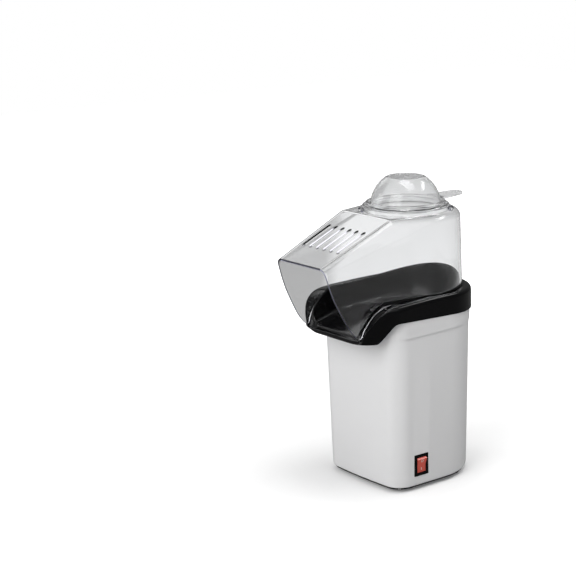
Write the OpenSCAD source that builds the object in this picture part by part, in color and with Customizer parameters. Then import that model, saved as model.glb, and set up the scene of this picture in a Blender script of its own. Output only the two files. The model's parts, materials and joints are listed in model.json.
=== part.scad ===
// Hot-air popcorn maker: a casing with a fan, a heater and a popping chamber in it,
// a collar with a pouring spout, a clear hood and a clear measuring cup as its lid.
// The origin is on the table, under the centre of the whole machine. The spout faces -Y.

/* [Casing] */
// Width of the casing at its foot
foot_w = 114.4; // [112:0.2:115]
// Reach of the casing's foot in front of its centre
foot_front = 56.7; // [56:0.1:57]
// Reach of the casing's foot behind its centre
foot_back = 64; // [63:0.1:65]
// Growth of each side per millimetre of height
draft = 0.017; // [0:0.001:0.02]
// Height of the casing's lower edge above the table
casing_foot = 5; // [4:0.5:6]
// Height of the joint between casing and collar
casing_top = 171; // [169:0.5:172]
// Wall thickness of the casing
casing_wall = 2.2; // [1.8:0.1:2.6]
// Radius of the two front corners
front_r = 16; // [12:1:20]
// Radius of the two rear corners
rear_r = 51; // [47:1:52]
// Outward bow of the front and rear faces
face_bow = 2.4; // [0:0.2:3]
// Outward bow of the side faces
side_bow = 1; // [0:0.1:1.5]
// How far the band under the collar stands proud
band_proud = 0.8; // [0.5:0.1:1]

/* [Collar and spout] */
// Height of the rim that the hood stands in
rim_z = 191; // [189:0.5:193]
// Height of the pouring lip
lip_z = 158; // [156:0.5:160]
// Reach of the spout in front of the casing's centre
spout_reach = 88; // [86:1:90]
// Thickness of the collar's skin
collar_wall = 2.6; // [2.2:0.1:3]
// Radius of the opening over the popping chamber
mouth_r = 37.5; // [36:0.5:38]

/* [Hood] */
// Radius of the hood's round back
drum_r = 54; // [53:0.5:54.5]
// Wall thickness of the hood
hood_wall = 1.8; // [1.4:0.1:2]
// Height of the hood's flat top
hood_top = 268; // [262:1:272]
// Height of the chute's front edge
chute_z = 233; // [228:1:236]
// Reach of the chute in front of the casing's centre
chute_reach = 122; // [116:1:122]
// Half the width of the chute's front edge
chute_half = 37; // [34:0.5:38]
// Number of steam slots in the slope
steam_slots = 6; // [4:1:6]

/* [Measuring cup] */
// Height of the cup's flat end above the table
cup_top = 300; // [296:1:304]
// Radius of the cup's mouth
cup_r = 36; // [34:0.5:36]
// Wall thickness of the cup
cup_wall = 1.6; // [1.2:0.1:1.8]
// Reach of the thumb tab from the cup's axis
tab_reach = 63.9; // [56:0.1:64.5]

/* [Popping chamber] */
// Inner radius of the chamber
chamber_r = 36.8; // [35:0.2:37]
// Height of the chamber's floor
chamber_floor = 98; // [94:1:102]
// Number of hot-air slots
air_slots = 20; // [12:1:24]

/* [Fan and motor] */
// Radius of the motor
motor_r = 14; // [12:0.5:15]
// Length of the motor
motor_l = 38; // [32:1:38]
// Radius of the fan
fan_r = 34; // [28:1:36]
// Number of fan blades
fan_blades = 12; // [6:1:14]
// Radius of the motor shaft
shaft_r = 1.5; // [1:0.1:1.8]

/* [Switch] */
// Height of the switch above the table
switch_z = 25.6; // [24:0.2:30]
// Distance of the switch in front of the casing's centre
switch_y = -25.4; // [-28:0.2:-10]

/* [Hidden] */

eps = 0.01;
casing_y = 25.5;                       // centre of the casing
popper_y = 8;                          // axis of chamber, fan and hood, from the casing's centre

// ---------- outlines and other functions, all measured from the casing's centre ----------

function arc(c, r, a0, a1, n) =
    [for (i = [0:n]) let (a = a0 + (a1 - a0) * i / n) c + [r[0] * cos(a), r[1] * sin(a)]];
function flip(points) = [for (i = [len(points) - 1:-1:0]) [-points[i][0], points[i][1]]];
function ramp(x, x0, x1) = let (t = max(0, min(1, (x - x0) / (x1 - x0)))) t * t * (3 - 2 * t);

// Reach of the casing's sides, front and back at a height, grown by g
function side_at(z, g = 0) = foot_w / 2 + draft * (z - casing_foot) + g;
function front_at(z, g = 0) = foot_front + draft * (z - casing_foot) + g;
function back_at(z, g = 0) = foot_back + draft * (z - casing_foot) + g;

// Rounded box with tight corners in front, wide ones behind and softly bowed faces
function bow(p, hw, hf, hb) =
    let (h = p[1] < 0 ? hf : hb)
    [p[0] * (1 + side_bow / hw * (1 - pow(p[1] / h, 2))),
     p[1] * (1 + face_bow / h * (1 - pow(p[0] / hw, 2)))];
function box_outline(side, front, back, fr, rr) =
    let (hw = side - side_bow, hf = front - face_bow, hb = back - face_bow, n = 5,
        half = concat(
            [for (i = [0:n - 1]) [(hw - fr) * i / n, -hf]],
            arc([hw - fr, fr - hf], [fr, fr], -90, 0, 8),
            [for (i = [1:n]) [hw, fr - hf + (hf + hb - fr - rr) * i / (n + 1)]],
            arc([hw - rr, hb - rr], [rr, rr], 0, 90, 16)),
        back_half = [for (p = flip(half)) if (p[0] < -eps) p])
    [for (p = concat(half, [[0, hb]], back_half)) bow(p, hw, hf, hb)];

// Distance from the popper's axis to a closed outline in the direction a
function cross2(p, q) = p[0] * q[1] - p[1] * q[0];
function reach(outline, a) =
    let (u = [cos(a), sin(a)], c = [0, popper_y], n = len(outline))
    max([for (i = [0:n - 1])
        let (p = outline[i] - c, e = outline[(i + 1) % n] - outline[i], k = cross2(u, e))
        if (abs(k) > 1e-9)
            let (t = cross2(p, e) / k, s = cross2(p, u) / k)
            if (t > 0 && s > -1e-6 && s < 1 + 1e-6) t]);

// ---------- shared modules ----------

module from_casing() { translate([0, casing_y, 0]) children(); }
module from_popper() { translate([0, casing_y + popper_y, 0]) children(); }
module spun(outline) { rotate_extrude($fn = 96) polygon(outline); }
module ring(r_out, r_in, z0, z1) {
    translate([0, 0, z0]) difference() {
        cylinder(r = r_out, h = z1 - z0, $fn = 96);
        translate([0, 0, -1]) cylinder(r = r_in, h = z1 - z0 + 2, $fn = 96);
    }
}
module around(n, start = 0) {
    for (i = [0:n - 1]) rotate([0, 0, start + 360 * i / n]) children();
}
// A closed skin round a loop of sections, each a closed list of points
module loop_skin(sections) {
    n = len(sections);
    m = len(sections[0]);
    polyhedron(
        points = [for (s = sections) each s],
        faces = [for (i = [0:n - 1], j = [0:m - 1])
            let (a = i * m + j, b = i * m + (j + 1) % m,
                c = ((i + 1) % n) * m + j, d = ((i + 1) % n) * m + (j + 1) % m)
            each [[a, b, d], [a, d, c]]]);
}
// A solid through a pile of level outlines with as many points each
module pile(rings) {
    n = len(rings);
    m = len(rings[0]);
    polyhedron(
        points = [for (r = rings) each r],
        faces = concat(
            [[for (j = [0:m - 1]) j]],
            [[for (j = [m - 1:-1:0]) (n - 1) * m + j]],
            [for (i = [0:n - 2], j = [0:m - 1])
                let (a = i * m + j, b = i * m + (j + 1) % m) each [[a, a + m, b + m], [a, b + m, b]]]));
}
// A tube with flat ends along a list of points
module lead(route, r, sides = 8) {
    n = len(route);
    function way(i) = let (d = route[min(i + 1, n - 1)] - route[max(i - 1, 0)]) d / norm(d);
    function side(i) = let (s = cross(way(i), [0.31, 0.17, 0.93])) s / norm(s);
    rings = [for (i = [0:n - 1]) let (s = side(i), t = cross(way(i), s))
        for (k = [0:sides - 1]) route[i] + r * (s * cos(360 * k / sides) + t * sin(360 * k / sides))];
    polyhedron(points = rings, faces = concat(
        [[for (k = [0:sides - 1]) k]],
        [[for (k = [sides - 1:-1:0]) (n - 1) * sides + k]],
        [for (i = [0:n - 2], k = [0:sides - 1])
            let (a = i * sides + k, b = i * sides + (k + 1) % sides)
            each [[a, a + sides, b + sides], [a, b + sides, b]]]));
}

// ---------- casing ----------

boss_r = 4.2;
boss_foot = 8.5;
boss_top = 36;
boss_places = [[47.6, -45.5], [35.8, 44.4]];
flat_pad_x = 56;                       // the flat that the switch frame sits on
gland_z = 22;

// A drafted solid through the casing's outline at several levels, each a height and a growth
module storeys(levels) {
    pile([for (l = levels) let (z = l[0], g = l[1])
        [for (p = box_outline(side_at(z, g), front_at(z, g), back_at(z, g), front_r + g, rear_r + g))
            [p[0], p[1], z]]]);
}
// Everything above the joint with the collar, which drops a little towards the back
module above_joint() {
    translate([0, 0, casing_top]) rotate([-2, 0, 0])
        translate([-100, -150, 0]) cube([200, 300, 60]);
}
// The gap in the front wall that the spout's channel leaves through
module spout_notch() {
    translate([-46.5, -80, 159.4]) cube([93, 45, 40]);
}

module casing() {
    color([0.93, 0.93, 0.94]) from_casing() difference() {
        union() {
            difference() {
                union() {
                    storeys([[casing_foot, -1.5], [casing_foot + 0.8, -0.6], [casing_foot + 3, 0],
                        [casing_top + 3, 0]]);
                    intersection() {
                        storeys([[154, band_proud], [casing_top + 3, band_proud]]);
                        translate([0, 0, 156.7]) rotate([1.1, 0, 0])
                            translate([-100, -150, 0]) cube([200, 300, 60]);
                    }
                }
                storeys([[casing_foot - 1, -casing_wall], [casing_top + 4, -casing_wall]]);
            }
            for (p = boss_places, s = [-1, 1]) translate([s * p[0], p[1], boss_foot])
                cylinder(r = boss_r, h = boss_top - boss_foot, $fn = 32);
        }
        for (p = boss_places, s = [-1, 1]) translate([s * p[0], p[1], boss_foot - 1])
            cylinder(r = 1.3, h = 24, $fn = 24);
        above_joint();
        spout_notch();
        translate([flat_pad_x, switch_y - 8.8, switch_z - 11]) cube([5, 17.6, 22]);
        translate([45, switch_y - 6.8, switch_z - 9.6]) cube([20, 13.6, 19.2]);
        translate([0, 50, gland_z]) rotate([-90, 0, 0]) cylinder(r = 6, h = 30, $fn = 48);
    }
}

module base_cover() {
    color([0.1, 0.1, 0.11]) from_casing() difference() {
        union() {
            difference() {
                storeys([[3, -casing_wall - 0.6], [5.6, -casing_wall - 0.4], [12, -casing_wall - 0.4]]);
                storeys([[5.6, -casing_wall - 2.4], [13, -casing_wall - 2.4]]);
                for (p = boss_places, s = [-1, 1]) translate([s * p[0], p[1], boss_foot])
                    cylinder(r = boss_r + 0.5, h = 10, $fn = 32);
                translate([0, 50, gland_z]) rotate([-90, 0, 0]) cylinder(r = 12, h = 30, $fn = 48);
            }
            intersection() {
                for (p = boss_places, s = [-1, 1]) translate([s * p[0], p[1], 5])
                    cylinder(r = boss_r, h = boss_foot - 5, $fn = 32);
                storeys([[4, -casing_wall - 1.4], [10, -casing_wall - 1.4]]);
            }
        }
        for (p = boss_places, s = [-1, 1]) translate([s * p[0], p[1], 0]) {
            cylinder(r = 1.7, h = 12, $fn = 24);
            cylinder(r = 3.4, h = 5, $fn = 32);
        }
        for (x = [-36:6:36]) let (half = sqrt(40 * 40 - x * x))
            translate([x - 1.5, popper_y - half, 2]) cube([3, 2 * half, 5]);
        for (p = foot_places, s = [-1, 1]) translate([s * p[0], p[1], 0])
            cylinder(r = 2.5, h = 12, $fn = 24);
    }
}

foot_places = [[43, -31], [41, 30]];
module rubber_feet() {
    color([0.16, 0.16, 0.17]) from_casing()
        for (p = foot_places, s = [-1, 1]) translate([s * p[0], p[1], 0]) spun([[0, 0],
            [5.6, 0], [6.4, 1], [6.4, 3], [2.4, 3], [2.4, 5.7], [3, 5.7], [2.6, 7.4], [0, 7.4]]);
}

module screw(length, r, head_r, head_h) {
    spun([[0, 0], [head_r * 0.8, 0], [head_r, head_h * 0.5], [head_r, head_h], [r, head_h],
        [r, head_h + length - r], [0, head_h + length]]);
}
module base_screws() {
    color("silver") from_casing() for (p = boss_places, s = [-1, 1])
        translate([s * p[0], p[1], 3.6]) screw(20, 1.25, 3, 1.4);
}

// ---------- collar with the spout ----------

joint_drop = 0.035;                    // the joint's slope towards the back
spout_foot = 153;                      // lowest edge of the spout
guard_rise = 12;                       // the raised guard behind the chamber
collar_half = 61.2;
collar_back = 68;
spout_mid = 28;                        // centres of the round spout corners
spout_root = -54;
squareness = 0.77;                     // below 1 makes the spout corners squarer than an ellipse
groove = 3;                            // depth of the groove that the hood stands in
mouth_foot = 165.5;                    // underside of the opening over the chamber

collar_outline = let (half = concat(
        [for (i = [0:3]) [spout_mid * i / 4, -spout_reach]],
        [for (i = [0:20]) let (c = cos(90 - 4.5 * i), s = sin(90 - 4.5 * i))
            [spout_mid + (collar_half - spout_mid) * pow(c, squareness),
             spout_root - (spout_reach + spout_root) * pow(s, squareness)]],
        [for (y = [-40:14:2]) [collar_half, y]],
        arc([collar_half - 53, collar_back - 53], [53, 53], 0, 90, 18)))
    concat(half, [[0, collar_back]], [for (p = flip(half)) if (p[0] < -eps) p]);
tip = [42, -84.5];                     // lowest corner of the hood at each side of the spout
// The hood's foot seen from above, g inside its outer surface
function hood_line(g) = let (r = drum_r + 0.8 - g) concat(
    [[tip[0] - g, tip[1] + g]], arc([0, popper_y], [r, r], -8, 188, 48), [[g - tip[0], tip[1] + g]]);
groove_outside = hood_line(-0.5);
groove_inside = hood_line(hood_wall + 0.5);

// Heights along the side view: outer rim, foot of the hood, lower edge and channel floor
function sweep_down(y, y1, n, m) = pow(1 - pow(min(1, max(0, (-50 - y) / (-50 - y1))), n), m);
function rim_top(y) = lip_z + (rim_z - lip_z) * sweep_down(y, 2 - spout_reach, 2.6, 0.62);
function hood_foot(y) = lip_z + 1 + (rim_z - groove - lip_z - 1) * sweep_down(y, tip[1] - 0.5, 2.2, 0.85);
function groove_land(y, side) = lip_z + (hood_foot(y) + groove - lip_z) * side;
function edge_drop(y) = ramp(-y, 55, 71);
function foot_edge(y) = let (plain = casing_top - joint_drop * y)
    plain + 0.05 + (spout_foot - plain) * edge_drop(y);
function channel_z(y) = 167.5 - 0.2 * max(0, -38 - y);

function collar_section(p) =
    let (v = p - [0, popper_y], a = atan2(v[1], v[0]), ro = norm(v), y = p[1],
        top = rim_top(y), foot = foot_edge(y), low = edge_drop(y),
        front = ramp(-y, 60, 88),
        r1 = min(reach(groove_outside, a), ro - 4.6 + 1.8 * front),
        r2 = min(reach(groove_inside, a), r1 - 2.6),
        y1 = popper_y + r1 * sin(a),
        y2 = popper_y + r2 * sin(a),
        side = max(ramp(abs(p[0]), 30, 42), ramp(y, -70, -60)),
        depth = (groove + 0.9 + 0.7 * front) * side,
        guard = guard_rise * pow(max(0, sin(a)), 1.6),
        ridge = groove_land(y2, side) + 1.5 * side + guard,
        rw = max(mouth_r + 3.5, r2 - 6.7 + 3 * front),
        floor_z = channel_z(popper_y + rw * sin(a)) + 0.6,
        under = max(top - 9, foot + 1.2),
        edge = min(5 - 2.3 * front, (top - foot) / 2),
        skirt = [p[0] * (1 - 0.2 * low), y + 3 * low * front],
        inside = skirt + ([0, popper_y] - skirt) * collar_wall / ro)
    concat(
        [[skirt[0], skirt[1], foot]],
        [for (k = [0:4]) let (b = 90 * k / 4)
            in_plane(a, ro - edge * (1 - cos(b)), top - edge * (1 - sin(b)))],
        [in_plane(a, r1, min(groove_land(y1, side), top)),
         in_plane(a, r1, groove_land(y1, side) - depth),
         in_plane(a, r2, groove_land(y2, side) - depth),
         in_plane(a, r2 - 0.1, ridge - 1 * side),
         in_plane(a, r2 - 0.9, ridge),
         in_plane(a, r2 - 2.4, ridge - 0.6),
         in_plane(a, rw + 3 - front, floor_z + 0.45 * (ridge - floor_z)),
         in_plane(a, rw + 1.5, floor_z + 0.4 * (ridge - floor_z)),
         in_plane(a, rw, floor_z),
         in_plane(a, min(rw - 0.5, mouth_r + 8), channel_z(0)),
         in_plane(a, mouth_r + 1, channel_z(0)),
         in_plane(a, mouth_r, channel_z(0) - 1),
         in_plane(a, mouth_r, mouth_foot),
         in_plane(a, mouth_r + 8.5, mouth_foot),
         in_plane(a, rw + 1.8, min(mouth_foot, floor_z - collar_wall)),
         in_plane(a, r2 - 3 - 2 * front, under),
         in_plane(a, ro - collar_wall - 0.6, under),
         [inside[0], inside[1], foot_edge(inside[1])]]);
function in_plane(a, r, z) = [r * cos(a), popper_y + r * sin(a), z];

flange_boss = 51.2;
module collar() {
    color([0.07, 0.07, 0.08]) from_casing() difference() {
        union() {
            loop_skin([for (p = collar_outline) collar_section(p)]);
            translate([0, popper_y, flange_z]) around(4, 45) translate([flange_boss, 0, 0])
                cylinder(r = 4, h = 10, $fn = 32);
        }
        translate([0, popper_y, flange_z - 1]) around(4, 45) translate([flange_boss, 0, 0])
            cylinder(r = 1.3, h = 10, $fn = 24);
    }
}

// ---------- popping chamber and heater ----------

flange_z = 163;
module flange_screws() {
    color("silver") from_popper() around(4, 45) translate([flange_boss, 0, 160.4])
        screw(9, 1.25, 3, 1.4);
}
module chamber_gasket() { color([0.75, 0.3, 0.2]) from_popper() ring(45, 38.4, 164, 165.5); }

module popping_chamber() {
    t = 1;
    b = chamber_floor;
    color([0.8, 0.8, 0.82]) from_popper() difference() {
        spun([[45, flange_z], [45, flange_z + t], [chamber_r, flange_z + t], [chamber_r - 0.8, b + 8],
            [chamber_r - 3, b + 3], [chamber_r - 7, b + 1], [14, b + t], [0, b + 5 + t], [0, b + 5],
            [14, b], [chamber_r - 6.6, b], [chamber_r - 2, b + 2.3], [chamber_r + t - 0.8, b + 8],
            [chamber_r + t, flange_z]]);
        around(air_slots) translate([chamber_r - 4, 0, b + 15]) rotate([28, 0, 0])
            translate([0, -0.9, -6]) cube([8, 1.8, 12]);
    }
}

module heater_housing() {
    color([0.62, 0.62, 0.6]) from_popper() difference() {
        union() {
            ring(46.8, 45.8, 58, flange_z - 1.2);
            ring(55.4, 39.5, flange_z - 1.2, flange_z);
            ring(46.8, 41, 58, 59.2);
            around(4, 45) translate([42.6, -2.5, card_foot - 1]) cube([3.6, 5, 1]);
        }
        around(3, 90) translate([44, 0, 50]) cylinder(r = 1.1, h = 12, $fn = 24);
        rotate([0, 0, fuse_turn]) translate([40, 0, 103.4]) rotate([0, 90, 0])
            cylinder(r = 2.8, h = 10, $fn = 24);
        translate([40, 0, coil_z + 0.8]) rotate([0, 90, 0]) cylinder(r = 2.8, h = 10, $fn = 24);
        around(4, 45) translate([flange_boss, 0, 150]) cylinder(r = 1.7, h = 20, $fn = 24);
    }
}

// Two crossed cards whose ears stand on the tabs of the heater housing
card_foot = 76;
module mica_frame() {
    slot = (coil_z - coil_wire - card_foot) / 2;
    color([0.8, 0.72, 0.55]) from_popper() for (a = [0, 90]) rotate([0, 0, 45 + a])
        translate([0, 0.5, card_foot]) rotate([90, 0, 0]) linear_extrude(height = 1) difference() {
            union() {
                translate([-34, 0]) square([68, 2 * slot]);
                translate([-45.7, 0]) square([91.4, 7]);
            }
            translate([-0.5, a == 0 ? slot : -1]) square([1, slot + 1]);
        }
}

coil_z = 93;
coil_wire = 0.6;
coil_turns = 12;
coil_steps = 13;                        // points along each turn
module heating_coil() {
    last = coil_steps * coil_turns;
    color([0.55, 0.5, 0.45]) from_popper() lead([for (i = [0:last])
        let (a = 360 * i / coil_steps, r = 5 + 25 * i / last) [r * cos(a), r * sin(a), coil_z]],
        coil_wire, 6);
}

module thermostat() {
    color([0.2, 0.2, 0.22]) from_popper() rotate([0, 0, 20]) translate([37.42, 0, 128])
        rotate([0, 90, 0]) {
            cylinder(r = 7, h = 4.5, $fn = 48);
            translate([-4.5, -11, 0]) cube([9, 22, 0.8]);
            for (s = [-1, 1]) translate([s * 4 - 0.4, -2.4, 4]) cube([0.8, 4.8, 2.8]);
        }
}
fuse_turn = -30;
module thermal_fuse() {
    color([0.75, 0.75, 0.72]) from_popper() rotate([0, 0, fuse_turn]) translate([39.3, 0, 112])
        union() {
            cylinder(r = 2, h = 11, $fn = 32);
            translate([0, 0, -6]) cylinder(r = 0.5, h = 23, $fn = 16);
        }
}

// ---------- motor and fan ----------

bracket_z = 56.5;
motor_foot = bracket_z - motor_l;
module motor_bracket() {
    color("silver") from_popper() difference() {
        union() {
            ring(46.8, 41, bracket_z, bracket_z + 1.5);
            translate([0, 0, bracket_z]) cylinder(r = motor_r + 2, h = 1.5, $fn = 64);
            around(3, 90) translate([0, -5, bracket_z]) cube([43, 10, 1.5]);
        }
        translate([0, 0, bracket_z - 1]) cylinder(r = 3.6, h = 5, $fn = 32);
        around(2) translate([8, 0, bracket_z - 1]) cylinder(r = 1.4, h = 5, $fn = 24);
        around(3, 90) translate([44, 0, bracket_z - 1]) cylinder(r = 1.1, h = 5, $fn = 24);
    }
}
// Two hold the motor, and three hold the bracket to the lip of the heater housing
module motor_screws() {
    color("silver") from_popper() {
        around(2) translate([8, 0, bracket_z + 1.5 + 1.2]) mirror([0, 0, 1]) screw(4, 1.2, 2.2, 1.2);
        around(3, 90) translate([44, 0, bracket_z - 1.2]) screw(4.4, 1.05, 2.2, 1.2);
    }
}
module motor_can() {
    color([0.7, 0.7, 0.72]) from_popper() difference() {
        spun([[3.5, bracket_z + 1.4], [3, bracket_z + 1.4], [3, bracket_z - 1.2],
            [motor_r - 1, bracket_z - 1.2], [motor_r - 1, motor_foot + 1.5],
            [motor_r, motor_foot + 1.5], [motor_r, bracket_z - 1.5], [motor_r - 1.5, bracket_z],
            [3.5, bracket_z]]);
        around(2) translate([8, 0, bracket_z - 3]) cylinder(r = 1.3, h = 5, $fn = 24);
    }
}
module motor_magnets() {
    color([0.25, 0.25, 0.27]) from_popper() intersection() {
        ring(motor_r - 1, motor_r - 3.2, motor_foot + 9, bracket_z - 6);
        around(2) translate([0, -9, 0]) cube([20, 18, 80]);
    }
}
module motor_end_cap() {
    color([0.9, 0.9, 0.86]) from_popper() difference() {
        union() {
            translate([0, 0, motor_foot]) cylinder(r = motor_r, h = 1.5, $fn = 96);
            translate([0, 0, motor_foot + 1]) cylinder(r = motor_r - 1, h = 4, $fn = 96);
        }
        translate([0, 0, motor_foot + 2.5]) cylinder(r = motor_r - 3, h = 4, $fn = 64);
        translate([0, 0, motor_foot - 1]) cylinder(r = 3, h = 9, $fn = 96);
    }
    // Two posts that carry the rectifier's board
    color([0.9, 0.9, 0.86]) from_popper() for (s = [-1, 1]) translate([s * 10, 0, 0]) {
        translate([-1.5, -2, motor_foot - 4]) cube([3, 4, 4.2]);
        translate([-0.85, -1.3, motor_foot - 6.4]) cube([1.7, 2.6, 3]);
    }
}
module motor_bushes() {
    color([0.72, 0.55, 0.3]) from_popper() for (z = [motor_foot, bracket_z - 2])
        ring(3, shaft_r + 0.03, z, z + 3);
}
module motor_shaft() {
    color("silver") from_popper() translate([0, 0, motor_foot - 1.5])
        cylinder(r = shaft_r, h = motor_l + 18, $fn = 48);
}
module motor_armature() {
    color([0.65, 0.4, 0.25]) from_popper() difference() {
        union() {
            translate([0, 0, motor_foot + 10]) cylinder(r = motor_r - 3.8, h = 20, $fn = 64);
            translate([0, 0, motor_foot + 6]) cylinder(r = 3.4, h = 5, $fn = 32);
        }
        translate([0, 0, 0]) cylinder(r = shaft_r, h = 100, $fn = 48);
        around(3) translate([6, -1, 0]) cube([20, 2, 100]);
    }
}
fan_z = 60.5;
module fan_impeller() {
    color([0.12, 0.12, 0.13]) from_popper() difference() {
        union() {
            translate([0, 0, fan_z]) cylinder(r = fan_r, h = 1.4, $fn = 96);
            translate([0, 0, fan_z]) cylinder(r = 5, h = 11, $fn = 48);
            around(fan_blades) blade();
        }
        cylinder(r = shaft_r, h = 100, $fn = 48);
    }
}
module blade() {
    translate([0, 0, fan_z + 1]) linear_extrude(height = 11) difference() {
        translate([12, -13]) circle(r = 22.5, $fn = 64);
        translate([12, -13]) circle(r = 21.3, $fn = 64);
        translate([-40, -80]) square([80, 80 + 1]);
        translate([-40, -40]) square([50, 80]);
        difference() {
            circle(r = 80, $fn = 16);
            circle(r = fan_r - 1, $fn = 96);
        }
    }
}

module rectifier_board() {
    color([0.2, 0.45, 0.25]) from_popper() translate([0, 0, motor_foot - 5.6]) difference() {
        cylinder(r = 13, h = 1.6, $fn = 64);
        translate([0, 0, -1]) cylinder(r = 2.5, h = 4, $fn = 32);
        for (s = [-1, 1]) translate([s * 10 - 0.9, -1.4, -1]) cube([1.8, 2.8, 4]);
    }
}
module rectifier_diodes() {
    color([0.1, 0.1, 0.1]) from_popper() translate([0, 0, motor_foot - 8.2])
        for (x = [-7.5, -4, 4, 7.5]) translate([x, -2.6, 1.3]) rotate([-90, 0, 0])
            cylinder(r = 1.3, h = 5.2, $fn = 24);
}

// ---------- switch, gland and wiring ----------

pivot_x = 54.4;
module at_switch() { from_casing() translate([pivot_x, switch_y, switch_z]) children(); }
module across(r, w) { translate([0, w / 2, 0]) rotate([90, 0, 0]) cylinder(r = r, h = w, $fn = 64); }

module switch_housing() {
    color([0.08, 0.08, 0.09]) at_switch() difference() {
        union() {
            translate([flat_pad_x - pivot_x, -8.5, -10.75]) cube([1.9, 17, 21.5]);
            translate([-15, -6.6, -9.4]) cube([15 + flat_pad_x - pivot_x + 1, 13.2, 18.8]);
        }
        intersection() {
            translate([-3.6, -5.6, -9]) cube([12, 11.2, 18]);
            across(8.5, 11.2);
        }
        across(1.25, 12.6);
    }
}
module switch_terminals() {
    color([0.78, 0.68, 0.4]) at_switch() for (z = [-6, 0])
        translate([-22.5, -2.4, z - 0.4]) cube([7.5, 4.8, 0.8]);
}
module switch_rocker() {
    color([0.78, 0.13, 0.1]) at_switch() rotate([0, 10, 0]) {
        intersection() {
            across(8.2, 10.8);
            translate([0, 5.4, 0]) rotate([90, 0, 0]) linear_extrude(height = 10.8)
                polygon([[-2.6, -5], [-2.6, 5], [1, 9], [4.2, 9], [4.2, 7], [2.9, 0], [4.2, -7],
                    [4.2, -9], [1, -9]]);
        }
        across(1.2, 12.4);
    }
}

module cord_gland() {
    back = back_at(gland_z);
    color([0.12, 0.12, 0.13]) from_casing() translate([0, back, gland_z]) rotate([-90, 0, 0]) difference() {
        union() {
            translate([0, 0, 0.2]) cylinder(r = 8.5, h = 2.2, $fn = 64);
            translate([0, 0, -6]) cylinder(r = 5.9, h = 7, $fn = 64);
            translate([0, 0, -6]) cylinder(r = 8, h = 3.4, $fn = 64);
        }
        translate([0, 0, -7]) cylinder(r = 3.6, h = 12, $fn = 48);
    }
}

module terminal_block() {
    color([0.93, 0.92, 0.88]) from_casing() translate([-26, 29, 5.6]) difference() {
        cube([12, 24, 12]);
        for (y = [4, 12, 20]) translate([-1, y, 6]) rotate([0, 90, 0])
            cylinder(r = 2, h = 20, $fn = 24);
        for (y = [4, 12, 20]) translate([6, y, 7]) cylinder(r = 1.8, h = 8, $fn = 24);
    }
}

// From the block to the switch, to the rectifier and to the coil, and from the switch to the fuse
lead_r = 1.2;
module inner_leads() {
    fuse = [for (r = [49.5, 49.3, 46.8, 42, 39.4]) [r * cos(fuse_turn), popper_y + r * sin(fuse_turn)]];
    color([0.15, 0.2, 0.6]) from_casing() {
        lead([[-15, 33, 11.6], [-10, 33, 11.6], [-2, 31.5, 11.2], [12, 27, 10.6], [23, 14, 9],
            [27, -4, 8], [28, -18, 12], [28.4, -25.4, 19.6], [31.9, -25.4, 19.6]], lead_r, 6);
        lead([[-15, 41, 11.6], [-9, 41, 10.6], [-3, 37, 7.6], [0, 28, 7], [0, 20, 7], [0, 17, 8.6],
            [0, 17, 12.9]], lead_r, 6);
        lead([[31.9, -25.4, 25.6], [28.5, -25.4, 25.6], [33, -24, 36], [43, -20, 44], [46.5, -18.5, 60],
            [each fuse[0], 92], [each fuse[1], 101], [each fuse[2], 103.4],
            [each fuse[3], 103.6], [each fuse[4], 105.4]], lead_r, 6);
        lead([[30.8, popper_y, coil_z + 0.3], [38, popper_y, coil_z + 0.8],
            [47.8, popper_y, coil_z + 0.6], [50.8, popper_y + 1, coil_z - 5], [50.8, 14, 70],
            [50.6, 18, 50], [45, 24, 30], [30, 34, 12], [6, 49, 7], [-6, 49, 9], [-10, 49, 11.4],
            [-15, 49, 11.6]], lead_r, 6);
    }
}

// ---------- hood and measuring cup ----------

neck_r = 37;
neck_rise = 5.5;                        // height of the neck above the hood's flat top
vent_r = 44.2;                          // inner radius of the two vents beside the neck
vent_from = [29, 222];                  // where each begins, in degrees
soft_r = 8;                             // radius of the chute's long top edges
// Centres of the soft edges at the fold and at the mouth, and the side wall's corner below them
fold_corner = [chute_half - 7, -38.6, hood_top - soft_r];
mouth_corner = [chute_half - 7, 4.2 - chute_reach, chute_z - 7.3];
side_corner = [[41.5, -84.5, 157], [39.7, -101, 176], [38.1, -111.5, 193], [37.5, -118.5, 209]];
module hood_body(g) {
    // g is how far the surface lies inside the outer one
    hull() {
        translate([0, popper_y, 0]) rotate_extrude($fn = 64) polygon(concat(
            [[0, 150], [drum_r + 0.8 - g, 150], [drum_r + 0.8 - g, 190], [drum_r - 0.6 - g, 256]],
            arc([drum_r - 8.6 - g, hood_top - 8], [8, 8 - g], 0, 90, 5), [[0, hood_top - g]]));
        for (s = [-1, 1]) {
            for (c = [fold_corner, mouth_corner]) translate([s * c[0], c[1], c[2]])
                sphere(r = soft_r - g, $fn = 24);
            for (c = side_corner) translate([s * (c[0] - g), c[1], c[2]])
                cylinder(r = 0.5, h = 2, $fn = 8);
        }
    }
}
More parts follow.
